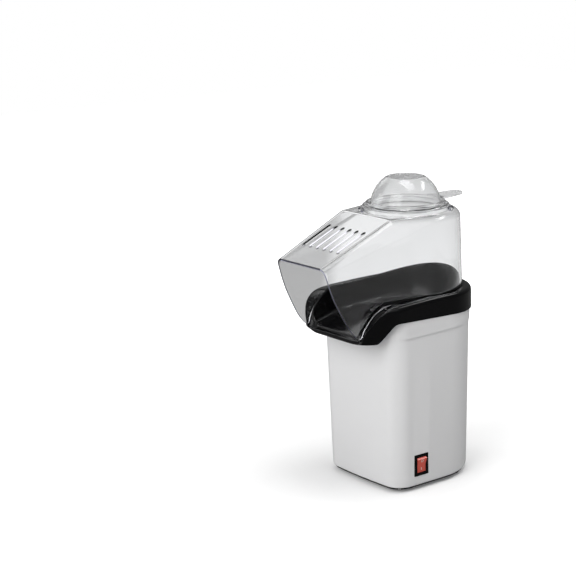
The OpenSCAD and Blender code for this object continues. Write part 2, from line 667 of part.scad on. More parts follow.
// The hood seen from the side: along its foot, round the tip and up the mouth
hood_side = concat(
    [[80, hood_foot(0)], [-50, hood_foot(0)]],
    [for (y = [-54:-2:-82]) [y, hood_foot(y) + 0.5]],
    [[-83.1, 162.4], [-84.4, 160.9], [-86.2, 160.4], [-88, 161], [-90.2, 163.2], [-94.8, 168.6],
     [-99.6, 176], [-106, 188], [-112.5, 201], [-116.8, 212.5], [-120, 223], [-chute_reach, 231],
     [-chute_reach, 290], [80, 290]]);
module hood() {
    color([0.85, 0.88, 0.9, 0.4]) from_casing() union() {
        difference() {
            intersection() {
                difference() {
                    hood_body(0);
                    hood_body(hood_wall);
                }
                translate([-80, 0, 0]) rotate([90, 0, 90]) linear_extrude(height = 160)
                    polygon(hood_side);
            }
            translate([0, popper_y, 250]) cylinder(r = vent_r - 1.8, h = 30, $fn = 72);
            for (i = [0:steam_slots - 1]) steam_slot(10.6 * (i - (steam_slots - 1) / 2));
            translate([0, popper_y, hood_top - 5]) for (a = vent_from) rotate([0, 0, a]) vent();
        }
        translate([0, popper_y, hood_top]) rotate_extrude($fn = 72) polygon([
            [vent_r - 0.9, -hood_wall], [vent_r - 0.9, neck_rise - 2.4], [vent_r - 2.4, neck_rise - 0.6],
            [vent_r - 4.4, neck_rise], [neck_r, neck_rise], [neck_r, neck_rise - 1.6],
            [vent_r - 4.8, neck_rise - 1.6], [vent_r - 2.6, neck_rise - 3], [vent_r - 2.6, -hood_wall]]);
    }
}
module vent() {
    rotate_extrude(angle = 32, $fn = 72) translate([vent_r, 0]) square([2.4, 8]);
}
module steam_slot(x) {
    translate([x, -64.5, 230]) linear_extrude(height = 60) hull() {
        translate([0, -2]) circle(r = 2, $fn = 16);
        translate([0, -32]) circle(r = 2, $fn = 16);
    }
}

tab_turn = -10;                         // the thumb tab points a little to the right of the back
module measuring_cup() {
    rim = hood_top + 5.5;
    ball = 35;
    mid = cup_top - 30;
    // The dome from the rim up to a height under the flat end
    function dome(r, z) = let (a0 = asin((rim + 2.4 - mid) / r), a1 = asin((z - mid) / r))
        [for (i = [0:10]) let (a = a0 + (a1 - a0) * i / 10) [r * cos(a), mid + r * sin(a)]];
    inner = dome(ball - cup_wall, cup_top - cup_wall);
    color([0.85, 0.88, 0.9, 0.4]) from_popper() union() {
        spun(concat([[cup_r - cup_wall, rim - 5], [cup_r, rim - 5], [cup_r, rim], [cup_r + 3, rim],
            [cup_r + 3, rim + 2]],
            dome(ball, cup_top - 0.9), [[17.6, cup_top], [0, cup_top], [0, cup_top - cup_wall]],
            [for (i = [10:-1:0]) inner[i]]));
        difference() {
            rotate([0, 0, tab_turn]) translate([0, cup_r, rim + 1.6]) rotate([4, 0, 0])
                linear_extrude(height = 2) hull() {
                    circle(r = 13, $fn = 48);
                    translate([0, tab_reach - cup_r - 10]) circle(r = 10, $fn = 48);
                }
            translate([0, 0, rim - 5]) cylinder(r = cup_r - 2.4, h = 14, $fn = 96);
        }
    }
}

casing();
base_cover();
rubber_feet();
base_screws();
collar();
flange_screws();
chamber_gasket();
popping_chamber();
heater_housing();
mica_frame();
heating_coil();
thermostat();
thermal_fuse();
motor_bracket();
motor_screws();
motor_can();
motor_magnets();
motor_bushes();
motor_end_cap();
rectifier_board();
rectifier_diodes();
motor_shaft();
motor_armature();
fan_impeller();
switch_housing();
switch_terminals();
switch_rocker();
cord_gland();
terminal_block();
inner_leads();
hood();
measuring_cup();
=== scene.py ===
# %% [markdown]
# # Dressing a hot-air popcorn maker
# A white casing holds the motor, the fan and the heater. A glossy black collar closes it and
# carries the lower half of the spout. A clear hood stands in the collar's groove, and a clear
# measuring cup sits in the hood's neck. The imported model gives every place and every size, so
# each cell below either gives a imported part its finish, or builds a finer piece in its place.

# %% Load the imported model
import json
import math

import bmesh
import bpy
import numpy as np
from mathutils import Matrix, Vector


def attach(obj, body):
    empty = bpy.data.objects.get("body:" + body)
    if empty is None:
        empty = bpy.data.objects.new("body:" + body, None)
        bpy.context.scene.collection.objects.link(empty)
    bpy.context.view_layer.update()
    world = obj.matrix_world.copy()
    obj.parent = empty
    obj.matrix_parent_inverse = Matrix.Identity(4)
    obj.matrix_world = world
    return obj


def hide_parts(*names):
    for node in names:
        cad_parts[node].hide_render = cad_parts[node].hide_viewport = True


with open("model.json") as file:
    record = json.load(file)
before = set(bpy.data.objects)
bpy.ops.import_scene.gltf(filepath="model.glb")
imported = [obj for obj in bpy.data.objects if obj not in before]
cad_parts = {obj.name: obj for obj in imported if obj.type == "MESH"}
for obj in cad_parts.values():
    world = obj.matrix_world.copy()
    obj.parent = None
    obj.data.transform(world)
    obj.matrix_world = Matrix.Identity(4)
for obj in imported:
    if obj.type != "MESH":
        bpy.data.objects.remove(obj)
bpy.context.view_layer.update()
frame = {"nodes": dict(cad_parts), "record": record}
MM = 0.001
CASING_Y = 25.5 * MM  # the casing's middle, behind the origin

# %% [markdown]
# ## Camera
# A product view from the front right corner, a little above the rim. A long lens from about a
# metre and a half keeps the casing's sides nearly parallel. The camera's own axes are worked
# out from its two angles and a small roll, which is steadier than aiming it with a constraint.

# %% Place the camera
CAMERA_AZIMUTH, CAMERA_ELEVATION, CAMERA_ROLL = 50.0428, 14.7974, -0.9342
CAMERA_DISTANCE, CAMERA_HEIGHT = 1.5689, 0.150
SENSOR_WIDTH, LENS = 36, 98.62
SHIFT_X, SHIFT_Y = -0.1968, 0.0659


def camera_matrix(azimuth, elevation, roll, distance, target):
    a, e, r = (math.radians(x) for x in (azimuth, elevation, roll))
    back = Vector((math.sin(a) * math.cos(e), -math.cos(a) * math.cos(e), math.sin(e)))
    right = Vector((math.cos(a), math.sin(a), 0))
    up = back.cross(right)
    turned_right = right * math.cos(r) + up * math.sin(r)
    turned_up = up * math.cos(r) - right * math.sin(r)
    place = Matrix((turned_right, turned_up, back)).transposed().to_4x4()
    place.translation = target + back * distance
    return place


camera = bpy.data.objects.new("camera", bpy.data.cameras.new("camera"))
bpy.context.scene.collection.objects.link(camera)
camera_target = Vector((0, CASING_Y, CAMERA_HEIGHT))
camera.matrix_world = camera_matrix(
    CAMERA_AZIMUTH, CAMERA_ELEVATION, CAMERA_ROLL, CAMERA_DISTANCE, camera_target
)
camera.data.sensor_width, camera.data.lens = SENSOR_WIDTH, LENS
camera.data.shift_x, camera.data.shift_y = SHIFT_X, SHIFT_Y
bpy.context.scene.camera = camera
bpy.context.scene.view_settings.view_transform = "Standard"
print("camera at", [round(x, 3) for x in camera.matrix_world.translation])

# %% [markdown]
# ## Node trees
# Materials and Geometry Nodes are both trees of nodes. One small helper adds a node, sets its
# properties and its sockets, and links any socket that is given another node's output. Two more
# stand for the steps that come back in every material: going from one value to another by a
# factor, and stretching a range of values onto another.


# %% Helpers for any node tree
def put(tree, kind, sockets=None, **properties):
    node = tree.nodes.new(kind)
    for name, value in properties.items():
        setattr(node, name, value)
    for key, value in (sockets or {}).items():
        if isinstance(value, bpy.types.NodeSocket):
            tree.links.new(value, node.inputs[key])
        else:
            node.inputs[key].default_value = value
    return node


def mixed(tree, factor, low, high):
    """A number that goes from low to high as the factor goes from 0 to 1."""
    return put(tree, "ShaderNodeMix", {0: factor, 2: low, 3: high}).outputs[0]


def mixed_colour(tree, factor, low, high):
    """The same for a colour, which has sockets of its own on the node."""
    return put(tree, "ShaderNodeMix", {0: factor, 6: low, 7: high}, data_type="RGBA").outputs[2]


def stretched(tree, value, low, high, new_low, new_high):
    """The value's range from low to high becomes a new one, and stops at both of its ends."""
    sockets = {0: value, 1: low, 2: high, 3: new_low, 4: new_high}
    return put(tree, "ShaderNodeMapRange", sockets).outputs[0]


def vector_step(tree, operation, first, second=None):
    sockets = {0: first} if second is None else {0: first, 1: second}
    return put(tree, "ShaderNodeVectorMath", sockets, operation=operation)


def number_step(tree, operation, *values):
    return put(tree, "ShaderNodeMath", dict(enumerate(values)), operation=operation).outputs[0]


print("node helpers ready")

# %% [markdown]
# ## Surroundings
# The set is a white studio, but glossy black looks black only where it mirrors something dark,
# and clear plastic shows whatever lies behind it. Light Path tells which kind of ray has come,
# so the surroundings can have a level for each: what the camera sees directly, what shows
# through clear plastic, what fills the shadows, and what shows in reflections. The last one is
# low, and lower still near the horizon, which the collar's rim and the hood's edges mirror.

# %% The world, with a level for each kind of ray
SEEN_LIGHT, THROUGH_LIGHT, FILL_LIGHT = 1.0, 0.6, 0.2
HORIZON_LIGHT, REFLECTED_LIGHT = 0.12, 0.2
HORIZON_TO, OVERHEAD_FROM = 0.2, 0.6  # the upward part of a direction, where each level begins


def by_ray(tree, seen, through, fill, reflected):
    """A level for rays from the camera, through clear plastic, scattered, or mirrored."""
    path = put(tree, "ShaderNodeLightPath").outputs
    level = mixed(tree, path["Is Diffuse Ray"], reflected, fill)
    level = mixed(tree, path["Is Transmission Ray"], level, through)
    return mixed(tree, path["Is Camera Ray"], level, seen)


world = bpy.data.worlds.new("studio")
bpy.context.scene.world = world
world.use_nodes = True
world.node_tree.nodes.clear()
tree = world.node_tree
direction = put(tree, "ShaderNodeTexCoord").outputs["Generated"]
height = put(tree, "ShaderNodeSeparateXYZ", {0: direction}).outputs["Z"]
reflected = stretched(
    tree, height, HORIZON_TO, OVERHEAD_FROM, HORIZON_LIGHT, REFLECTED_LIGHT
)
level = by_ray(tree, SEEN_LIGHT, THROUGH_LIGHT, FILL_LIGHT, reflected)
sky = put(tree, "ShaderNodeBackground", {"Color": (1, 1, 1, 1), "Strength": level})
put(tree, "ShaderNodeOutputWorld", {"Surface": sky.outputs[0]})
print("world ready")

# %% [markdown]
# ## Lamps
# Six soft area lamps, because a glossy product shows the shape of each lamp in its edges. The
# key gives the casing its bright front, and a large weak panel lifts its right side. A panel at
# the front left draws the spout's lip, one overhead lights the rim and the hood's top, and a
# strip and a panel at the back draw the pale lines along the hood's upper edges. A lamp's power
# is its radiance times its area, so a lamp can grow without getting brighter in a reflection.

# %% Place the lamps round the casing's middle
MIDDLE = Vector((0, CASING_Y, 0.16))
LAMP_DISTANCE = 1.6
LAMPS = (  # name, direction from the middle, width, height, radiance
    ("key_softbox", (0.21, -0.84, 0.47), 1.15, 1.25, 3.5),
    ("side_panel", (0.75, 0.11, 0.66), 1.3, 1.2, 0.62),
    ("front_left_panel", (-0.74, -0.64, 0.22), 0.7, 0.9, 2.2),
    ("overhead_panel", (0.15, 0.0, 1.0), 0.65, 1.2, 5),
    ("rear_strip", (0.25, 0.62, 0.74), 0.9, 0.24, 8),
    ("back_panel", (-0.74, 0.24, 0.63), 1.2, 1.0, 0.75),
)


def lamp(name, direction, width, height, radiance):
    data = bpy.data.lights.new(name, "AREA")
    data.shape, data.size, data.size_y = "RECTANGLE", width, height
    data.energy = radiance * math.pi * width * height
    made = bpy.data.objects.new(name, data)
    bpy.context.scene.collection.objects.link(made)
    away = Vector(direction).normalized()
    made.location = MIDDLE + away * LAMP_DISTANCE
    made.rotation_mode = "QUATERNION"
    made.rotation_quaternion = away.to_track_quat("Z", "Y")


for row in LAMPS:
    lamp(*row)
print(len(LAMPS), "lamps")

# %% [markdown]
# ## Floor
# A large pale floor that fades into the white background and keeps the object's soft shadow.
# The camera looks down a little, so what shows through the hood and the cup is the floor, and
# its level for those rays decides how light the clear plastic looks. To the left of the view it
# is darker through clear plastic, a painted shade that gives the open mouth of the spout its grey.

# %% Make the floor
FLOOR_SIZE = 6.0
FLOOR_TONE = (0.85, 0.4, 0.6, 0.1)  # its colour for each kind of ray, as in by_ray
MIRRORED_GLOW = 0.1
CLEAR_GLOW, PAINTED_SHADE_GLOW = 0.6, 0.16  # how bright the floor is through clear plastic, outside and inside the painted shade
PAINTED_SHADE_SIDE = (-0.642, -0.766, 0)  # the half with the painted shade lies this way
PAINTED_SHADE_FROM, PAINTED_SHADE_TO = 0.078, 0.104  # and begins between these distances from the middle
SHADOW_END, FADED = 0.08, 0.9  # the glow grows between these distances
SHADOW_GLOW = 0.1

half = FLOOR_SIZE / 2
floor_corners = [(-half, -half, 0), (half, -half, 0), (half, half, 0), (-half, half, 0)]
floor_mesh = bpy.data.meshes.new("studio_floor")
floor_mesh.from_pydata(floor_corners, [], [(0, 1, 2, 3)])
studio_floor = bpy.data.objects.new("studio_floor", floor_mesh)
bpy.context.scene.collection.objects.link(studio_floor)
floor_finish = bpy.data.materials.new("pale_floor")
floor_finish.use_nodes = True
tree = floor_finish.node_tree
floor_shader = tree.nodes["Principled BSDF"]
tone = by_ray(tree, *FLOOR_TONE)
floor_colour = put(tree, "ShaderNodeCombineColor", {0: tone, 1: tone, 2: tone}).outputs[0]
tree.links.new(floor_colour, floor_shader.inputs["Base Color"])
place = put(tree, "ShaderNodeTexCoord").outputs["Object"]
distance = vector_step(tree, "LENGTH", place).outputs["Value"]
far = stretched(tree, distance, SHADOW_END, FADED, SHADOW_GLOW, 1.0)
# through clear plastic the floor's left half is a painted shade for the spout's open mouth
across = vector_step(tree, "DOT_PRODUCT", place, PAINTED_SHADE_SIDE).outputs["Value"]
through = stretched(tree, across, PAINTED_SHADE_FROM, PAINTED_SHADE_TO, CLEAR_GLOW, PAINTED_SHADE_GLOW)
glow = number_step(tree, "MULTIPLY", by_ray(tree, 1.0, through, 0.0, MIRRORED_GLOW), far)
floor_shader.inputs["Emission Color"].default_value = (1, 1, 1, 1)
tree.links.new(glow, floor_shader.inputs["Emission Strength"])
floor_shader.inputs["Roughness"].default_value = 0.85
floor_shader.inputs["Specular IOR Level"].default_value = 0.1
floor_mesh.materials.append(floor_finish)
print("floor ready")

# %% [markdown]
# ## Finishes
# Moulded plastic, rubber and metal differ in colour, in gloss and in their grain. One builder
# makes them all: a slow noise shifts the colour a little, as real mouldings do, a finer one
# varies the gloss, and gives the grain a small height. Both read Object coordinates, so the
# pattern stays on the piece wherever the piece goes.

# %% A builder for finishes
GRAIN_HEIGHT = 0.3 * MM
NOISE_RANGE = (0.3, 0.7)  # a noise seldom leaves this range


def finish(name, colour, gloss, shift, patch, grain, depth, stretch=(1, 1, 1)):
    """Colour, lowest and highest roughness, colour shift, both noises' scales, grain depth."""
    material = bpy.data.materials.new(name)
    material.use_nodes = True
    tree = material.node_tree
    shader = tree.nodes["Principled BSDF"]
    place = put(tree, "ShaderNodeTexCoord").outputs["Object"]
    sized = put(tree, "ShaderNodeMapping", {"Vector": place, "Scale": stretch}).outputs[0]
    slow = put(tree, "ShaderNodeTexNoise", {"Vector": sized, "Scale": patch, "Detail": 2})
    fine = put(tree, "ShaderNodeTexNoise", {"Vector": sized, "Scale": grain, "Detail": 3})
    dark = [c * (1 - shift) for c in colour]
    light = [min(1, c * (1 + shift)) for c in colour]
    tone = mixed_colour(tree, slow.outputs["Fac"], (*dark, 1), (*light, 1))
    tree.links.new(tone, shader.inputs["Base Color"])
    rough = stretched(tree, fine.outputs["Fac"], *NOISE_RANGE, *gloss)
    tree.links.new(rough, shader.inputs["Roughness"])
    grain_sockets = {"Height": fine.outputs["Fac"], "Strength": depth, "Distance": GRAIN_HEIGHT}
    bump = put(tree, "ShaderNodeBump", grain_sockets)
    tree.links.new(bump.outputs[0], shader.inputs["Normal"])
    return material


print("finish builder ready")

# %% [markdown]
# ## The list of finishes
# One line for each material of the popcorn maker, from the casing's white plastic to the mica
# cards that carry the heating wire. Glossy black needs a very dark colour and a weak mirror, or
# it turns grey in a bright room. Drawn wire, sheet and spun metal have a grain in one direction,
# so their noise is stretched.

# %% Make the finishes
FINISHES = {
    "white_plastic": ((0.78, 0.78, 0.785), (0.34, 0.42), 0.012, 9, 1400, 0.03),
    "black_gloss_plastic": ((0.0022, 0.0022, 0.0026), (0.14, 0.19), 0.1, 20, 1100, 0.006),
    "black_matt_plastic": ((0.012, 0.012, 0.013), (0.45, 0.6), 0.1, 30, 1500, 0.12),
    "rubber": ((0.02, 0.02, 0.021), (0.7, 0.85), 0.15, 60, 1200, 0.2),
    "silicone": ((0.09, 0.09, 0.095), (0.4, 0.5), 0.08, 40, 900, 0.04),
    "steel": ((0.55, 0.55, 0.56), (0.24, 0.34), 0.05, 60, 1500, 0.03, (1, 1, 8)),
    "tinned_sheet": ((0.5, 0.5, 0.49), (0.3, 0.45), 0.12, 45, 500, 0.05),
    "aluminium": ((0.72, 0.72, 0.73), (0.26, 0.4), 0.06, 30, 700, 0.08, (1, 1, 14)),
    "mica": ((0.52, 0.4, 0.22), (0.25, 0.5), 0.3, 90, 260, 0.1, (1, 1, 3)),
    "resistance_wire": ((0.2, 0.16, 0.13), (0.35, 0.5), 0.25, 120, 900, 0.05),
    "magnet": ((0.05, 0.05, 0.055), (0.5, 0.65), 0.15, 120, 1300, 0.15),
    "bronze": ((0.45, 0.26, 0.1), (0.3, 0.42), 0.12, 90, 1300, 0.06),
    "brass": ((0.62, 0.45, 0.16), (0.25, 0.35), 0.08, 90, 1300, 0.04),
    "nylon": ((0.66, 0.65, 0.58), (0.42, 0.52), 0.04, 50, 900, 0.05),
    "circuit_board": ((0.03, 0.14, 0.06), (0.3, 0.4), 0.35, 260, 700, 0.05),
    "armature": ((0.4, 0.16, 0.06), (0.3, 0.45), 0.4, 60, 380, 0.3, (1, 1, 0.12)),
    "lead_sleeve": ((0.5, 0.03, 0.02), (0.4, 0.5), 0.06, 60, 800, 0.03),
    "red_plastic": ((0.64, 0.1, 0.072), (0.2, 0.28), 0.06, 60, 900, 0.02),
}
METALS = ("steel", "tinned_sheet", "aluminium", "resistance_wire", "bronze", "brass")
METALLIC = {**{name: 1.0 for name in METALS}, "armature": 0.8}
finishes = {name: finish(name, *values) for name, values in FINISHES.items()}


def shader_of(name):
    return finishes[name].node_tree.nodes["Principled BSDF"]


for name, share in METALLIC.items():
    shader_of(name).inputs["Metallic"].default_value = share
shader_of("black_gloss_plastic").inputs["Specular IOR Level"].default_value = 0.22
print(len(finishes), "finishes")

# %% [markdown]
# ## The rocker key's marks
# A switch carries a bar for ON and a ring for OFF, printed on the key in pale paint. They are
# flat, so the material draws them: it measures how far a point on the key is from each mark's
# middle, and goes from red to the paint's colour inside the bar or on the ring.

# %% A bar and a ring on the red plastic
KEY_MIDDLE = (0, 0.1 * MM, 25.6 * MM)
BAR_HALF_WIDTH, BAR_HALF_HEIGHT = 0.4 * MM, 1.2 * MM
RING_RADIUS, RING_LINE = 1.2 * MM, 0.25 * MM
MARK_OFFSET = 4.2 * MM  # the ring above the key's middle, the bar below it
MARK_PAINT = (0.7, 0.66, 0.58, 1)

tree = finishes["red_plastic"].node_tree
place = put(tree, "ShaderNodeTexCoord").outputs["Object"]
from_middle = vector_step(tree, "SUBTRACT", place, KEY_MIDDLE).outputs[0]
flat = vector_step(tree, "MULTIPLY", from_middle, (0, 1, 1)).outputs[0]
from_bar = vector_step(tree, "SUBTRACT", flat, (0, 0, -MARK_OFFSET)).outputs[0]
bar_shares = (1, 1 / BAR_HALF_WIDTH, 1 / BAR_HALF_HEIGHT)
in_bar_sizes = vector_step(tree, "MULTIPLY", from_bar, bar_shares).outputs[0]
all_positive = vector_step(tree, "ABSOLUTE", in_bar_sizes).outputs[0]
sides = put(tree, "ShaderNodeSeparateXYZ", {0: all_positive}).outputs
farthest = number_step(tree, "MAXIMUM", sides["Y"], sides["Z"])
in_bar = number_step(tree, "LESS_THAN", farthest, 1.0)
from_ring = vector_step(tree, "DISTANCE", flat, (0, 0, MARK_OFFSET)).outputs["Value"]
on_ring = number_step(tree, "COMPARE", from_ring, RING_RADIUS, RING_LINE)
marked = number_step(tree, "MAXIMUM", in_bar, on_ring)
base_colour = shader_of("red_plastic").inputs["Base Color"]
plain_red = base_colour.links[0].from_socket
tree.links.new(mixed_colour(tree, marked, plain_red, MARK_PAINT), base_colour)
print("the key has its marks")

# %% [markdown]
# ## Clear plastic
# The hood and the cup are clear mouldings with real walls, so light bends through both faces
# of each wall. A faint grey tint and a little haze keep them from looking like glass. Where a
# wall ends in a cut edge the real plastic looks frosted and a little violet, because light that
# runs inside the wall comes out there. The piece carries that as a face attribute, and the same
# material reads it and goes from clear to frosted.

# %% Clear finishes
CUT_EDGE = "cut_edge"
EDGE_MARKS = (0.0, 1.0, 0.25)  # how frosted: moulded face, cut edge, slot's wall
EDGE_TINT, EDGE_ROUGHNESS = (0.42, 0.42, 0.66, 1), 0.5
CLEAR_TINT, CLEAR_IOR = (0.96, 0.965, 0.97, 1), 1.36
HAZE_SCALE, WAVE, WAVE_HEIGHT = 40, 0.05, 1 * MM


def clear_finish(name, clearness, gloss, wave_scale):
    material = bpy.data.materials.new(name)
    material.use_nodes = True
    tree = material.node_tree
    shader = tree.nodes["Principled BSDF"]
    shader.inputs["Transmission Weight"].default_value = clearness
    shader.inputs["IOR"].default_value = CLEAR_IOR
    place = put(tree, "ShaderNodeTexCoord").outputs["Object"]
    edge = put(tree, "ShaderNodeAttribute", attribute_name=CUT_EDGE).outputs["Fac"]
    tone = mixed_colour(tree, edge, CLEAR_TINT, EDGE_TINT)
    tree.links.new(tone, shader.inputs["Base Color"])
    haze = put(tree, "ShaderNodeTexNoise", {"Vector": place, "Scale": HAZE_SCALE, "Detail": 2})
    rough = stretched(tree, haze.outputs["Fac"], *NOISE_RANGE, *gloss)
    frosted = mixed(tree, edge, rough, EDGE_ROUGHNESS)
    tree.links.new(frosted, shader.inputs["Roughness"])
    wave = put(tree, "ShaderNodeTexNoise", {"Vector": place, "Scale": wave_scale, "Detail": 1})
    wave_sockets = {"Height": wave.outputs["Fac"], "Strength": WAVE, "Distance": WAVE_HEIGHT}
    bump = put(tree, "ShaderNodeBump", wave_sockets)
    tree.links.new(bump.outputs[0], shader.inputs["Normal"])
    return material


finishes["clear_plastic"] = clear_finish("clear_plastic", 1.0, (0.02, 0.05), 18)
finishes["clear_cup_plastic"] = clear_finish("clear_cup_plastic", 0.88, (0.05, 0.09), 25)
print("clear finishes")

# %% [markdown]
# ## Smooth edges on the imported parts
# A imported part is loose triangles, so round walls would show facets. This tree merges the
# points, shades the faces smooth and keeps every edge above an angle sharp. It changes only
# the shading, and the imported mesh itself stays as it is.

# %% A tree that shades a part smooth up to an angle
SHARP_ANGLE = 32


def add_inputs(tree, inputs):
    """Named inputs, each with a socket type and a first value, and one geometry output."""
    for name, (kind, value) in inputs.items():
        socket = tree.interface.new_socket(name, in_out="INPUT", socket_type=kind)
        if value is not None:
            socket.default_value = value
    tree.interface.new_socket("Geometry", in_out="OUTPUT", socket_type="NodeSocketGeometry")
    return put(tree, "NodeGroupInput").outputs


def shading_tree():
    tree = bpy.data.node_groups.new("smooth_up_to_angle", "GeometryNodeTree")
    start = add_inputs(tree, {
        "Geometry": ("NodeSocketGeometry", None),
        "Merge Distance": ("NodeSocketFloat", 0.01 * MM),
        "Sharp Angle": ("NodeSocketFloat", math.radians(SHARP_ANGLE)),
    })
    merge_sockets = {"Geometry": start["Geometry"], "Distance": start["Merge Distance"]}
    merged = put(tree, "GeometryNodeMergeByDistance", merge_sockets)
    smooth_sockets = {"Geometry": merged.outputs[0], "Shade Smooth": True}
    smooth = put(tree, "GeometryNodeSetShadeSmooth", smooth_sockets, domain="FACE")
    bend = put(tree, "GeometryNodeInputMeshEdgeAngle").outputs["Unsigned Angle"]
    sharp_sockets = {0: bend, 1: start["Sharp Angle"]}
    sharp = put(tree, "FunctionNodeCompare", sharp_sockets, operation="GREATER_THAN")
    sockets = {"Geometry": smooth.outputs[0], "Selection": sharp.outputs[0], "Shade Smooth": False}
    creased = put(tree, "GeometryNodeSetShadeSmooth", sockets, domain="EDGE")
    put(tree, "NodeGroupOutput", {"Geometry": creased.outputs[0]})
    return tree


smooth_up_to_angle = shading_tree()
slots = {entry["node"]: entry["material_slot"] for entry in frame["record"]["subparts"]}
for name, part in frame["nodes"].items():
    part.data.materials.clear()
    part.data.materials.append(finishes[slots[name]])
    part.modifiers.new("shading", "NODES").node_group = smooth_up_to_angle
print("packed parts have their finishes")

# %% [markdown]
# ## Meshes from points
# The collar, the hood and the cup are built from their own points, in millimetres from the
# casing's middle, as a drawing would give them. Every finished piece goes through the same last
# step, which moves it into place, turns its faces outwards and marks its sharp edges.

# %% Helpers that turn points and faces into a finished piece
SAME_POINT = 0.004 * MM
FLAT_BESIDE_ROUND = 4  # a face this many times wider than its neighbour is flat
BENT = 2.5  # and an edge between them that bends more than this many degrees is sharp


def link_new(name, mesh):
    made = bpy.data.objects.new(name, mesh)
    bpy.context.scene.collection.objects.link(made)
    return made


def dress(made, finish_name, sharp):
    bm = bmesh.new()
    bm.from_mesh(made.data)
    bmesh.ops.remove_doubles(bm, verts=bm.verts, dist=SAME_POINT)
    bmesh.ops.recalc_face_normals(bm, faces=bm.faces)
    bm.faces.index_update()
    edge_mark = bm.faces.layers.float.new(CUT_EDGE)
    for face in bm.faces:
        face.smooth = True
        face[edge_mark] = EDGE_MARKS[face.material_index]
        face.material_index = 0
    widths = [
        face.calc_area() / max(edge.calc_length() for edge in face.edges) for face in bm.faces
    ]
    for edge in bm.edges:
        bend = edge.calc_face_angle(0)
        edge.smooth = len(edge.link_faces) == 2 and bend < math.radians(sharp)
        if edge.smooth and bend > math.radians(BENT):
            narrow, wide = sorted(widths[face.index] for face in edge.link_faces)
            edge.smooth = wide < FLAT_BESIDE_ROUND * narrow
    bm.to_mesh(made.data)
    bm.free()
    made.data.materials.clear()
    made.data.materials.append(finishes[finish_name])


def settle(made, name, finish_name, body, sharp):
    """Millimetres from the casing's middle become metres in the shared frame."""
    made.name = name
    made.data.name = name
    made.data.transform(Matrix.Translation((0, CASING_Y, 0)) @ Matrix.Scale(MM, 4))
    dress(made, finish_name, sharp)
    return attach(made, body)


print("last step ready")


# %% A mesh from points and faces
def shape_from(name, points, faces):
    mesh = bpy.data.meshes.new(name)
    mesh.from_pydata([list(p) for p in points], [], faces)
    bm = bmesh.new()
    bm.from_mesh(mesh)
    bmesh.ops.recalc_face_normals(bm, faces=bm.faces)
    bm.to_mesh(mesh)
    bm.free()
    return link_new(name, mesh)


print("mesh helpers ready")

# %% [markdown]
# ## Curves and turned shapes
# Four small helpers draw what follows: part of an ellipse, a step with soft ends, a value
# between two others, and a closed outline turned about the popper's axis as on a lathe.

# %% Helpers for curves and turned shapes
AXIS_Y = 8  # the popper's axis behind the casing's middle


def arc(centre, radii, first, last, steps):
    angles = np.radians(np.linspace(first, last, steps + 1))
    return [
        (centre[0] + radii[0] * math.cos(a), centre[1] + radii[1] * math.sin(a)) for a in angles
    ]


def ramp(x, low, high):
    t = min(1.0, max(0.0, (x - low) / (high - low)))
    return t * t * (3 - 2 * t)


def between(start, end, share):
    return start + (end - start) * share


def tube_faces(rings, count):
    """Four-sided faces between closed rings of points, the last ring joined to the first."""
    for i in range(rings):
        a, b = i * count, ((i + 1) % rings) * count
        for j in range(count):
            k = (j + 1) % count
            yield a + j, a + k, b + k, b + j


def lathe_points(outline, steps, centre):
    turns = [2 * math.pi * i / steps for i in range(steps)]
    return [
        (centre[0] + r * math.cos(a), centre[1] + r * math.sin(a), z)
        for a in turns
        for r, z in outline
    ]


def lathe(name, outline, steps=160, flat_after=None, centre=(0, AXIS_Y)):
    """Turns a closed outline. Two flat discs can stand in for the wall after one point."""
    count = len(outline)
    faces = [f for f in tube_faces(steps, count) if f[0] % count != flat_after]
    if flat_after is not None:
        for j in (flat_after, flat_after + 1):
            faces.append(tuple(i * count + j for i in range(steps)))
    return shape_from(name, lathe_points(outline, steps, centre), faces)


print("curve helpers ready")

# %% [markdown]
# ## The collar's outline and heights
# The collar is one glossy black moulding. Its rim runs level round the back and sweeps down on
# both sides into the spout's lip, and the hood's foot sweeps down beside it. Both sweeps are
# one formula with different numbers, so they stay side by side. The outline is half a rounded
# box with a fuller front corner, mirrored.

# %% Outline, rim and foot
RIM_Z, LIP_Z, SPOUT_REACH, SPOUT_FOOT = 191, 158, 88, 153
COLLAR_HALF, COLLAR_BACK, COLLAR_WALL = 61.2, 68, 2.6
CORNER_X, CORNER_Y, SQUARENESS = 28, -54, 0.77
REAR_R, SIDE_END = 53, 15  # the rear corners' radius, and where the straight sides end
DRUM_R, HOOD_WALL, GROOVE = 54.8, 1.8, 3
TIP = (42, -84.5)  # the hood's lowest corner at each side of the spout
SWEEP_START = -50


def collar_outline(front=8, corner=40, side=10, rear=34):
    half = [(CORNER_X * i / front, -SPOUT_REACH) for i in range(front)]
    for i in range(corner + 1):
        a = math.radians(90 - 90 * i / corner)
        c, s = max(0, math.cos(a)) ** SQUARENESS, math.sin(a) ** SQUARENESS
        x = between(CORNER_X, COLLAR_HALF, c)
        half.append((x, between(CORNER_Y, -SPOUT_REACH, s)))
    for i in range(1, side + 1):
        half.append((COLLAR_HALF, between(CORNER_Y, SIDE_END, i / (side + 1))))
    half += arc((COLLAR_HALF - REAR_R, COLLAR_BACK - REAR_R), (REAR_R, REAR_R), 0, 90, rear)
    return half + [(0, COLLAR_BACK)] + [(-x, y) for x, y in reversed(half) if x > 0.01]


def sweep_down(y, end, bend, drop):
    """From 1 where the sweep starts to 0 at its end."""
    share = min(1, max(0, (SWEEP_START - y) / (SWEEP_START - end)))
    return (1 - share**bend) ** drop


def rim_top(y):
    return between(LIP_Z, RIM_Z, sweep_down(y, 2 - SPOUT_REACH, 2.6, 0.62))


def hood_foot(y):
    return between(LIP_Z + 1, RIM_Z - GROOVE, sweep_down(y, TIP[1] - 0.5, 2.2, 0.85))


def hood_line(inset):
    r = DRUM_R - inset
    line = [(TIP[0] - inset, TIP[1] + inset)] + arc((0, AXIS_Y), (r, r), -8, 188, 120)
    return line + [(inset - TIP[0], TIP[1] + inset)]


print(len(collar_outline()), "points round the collar")

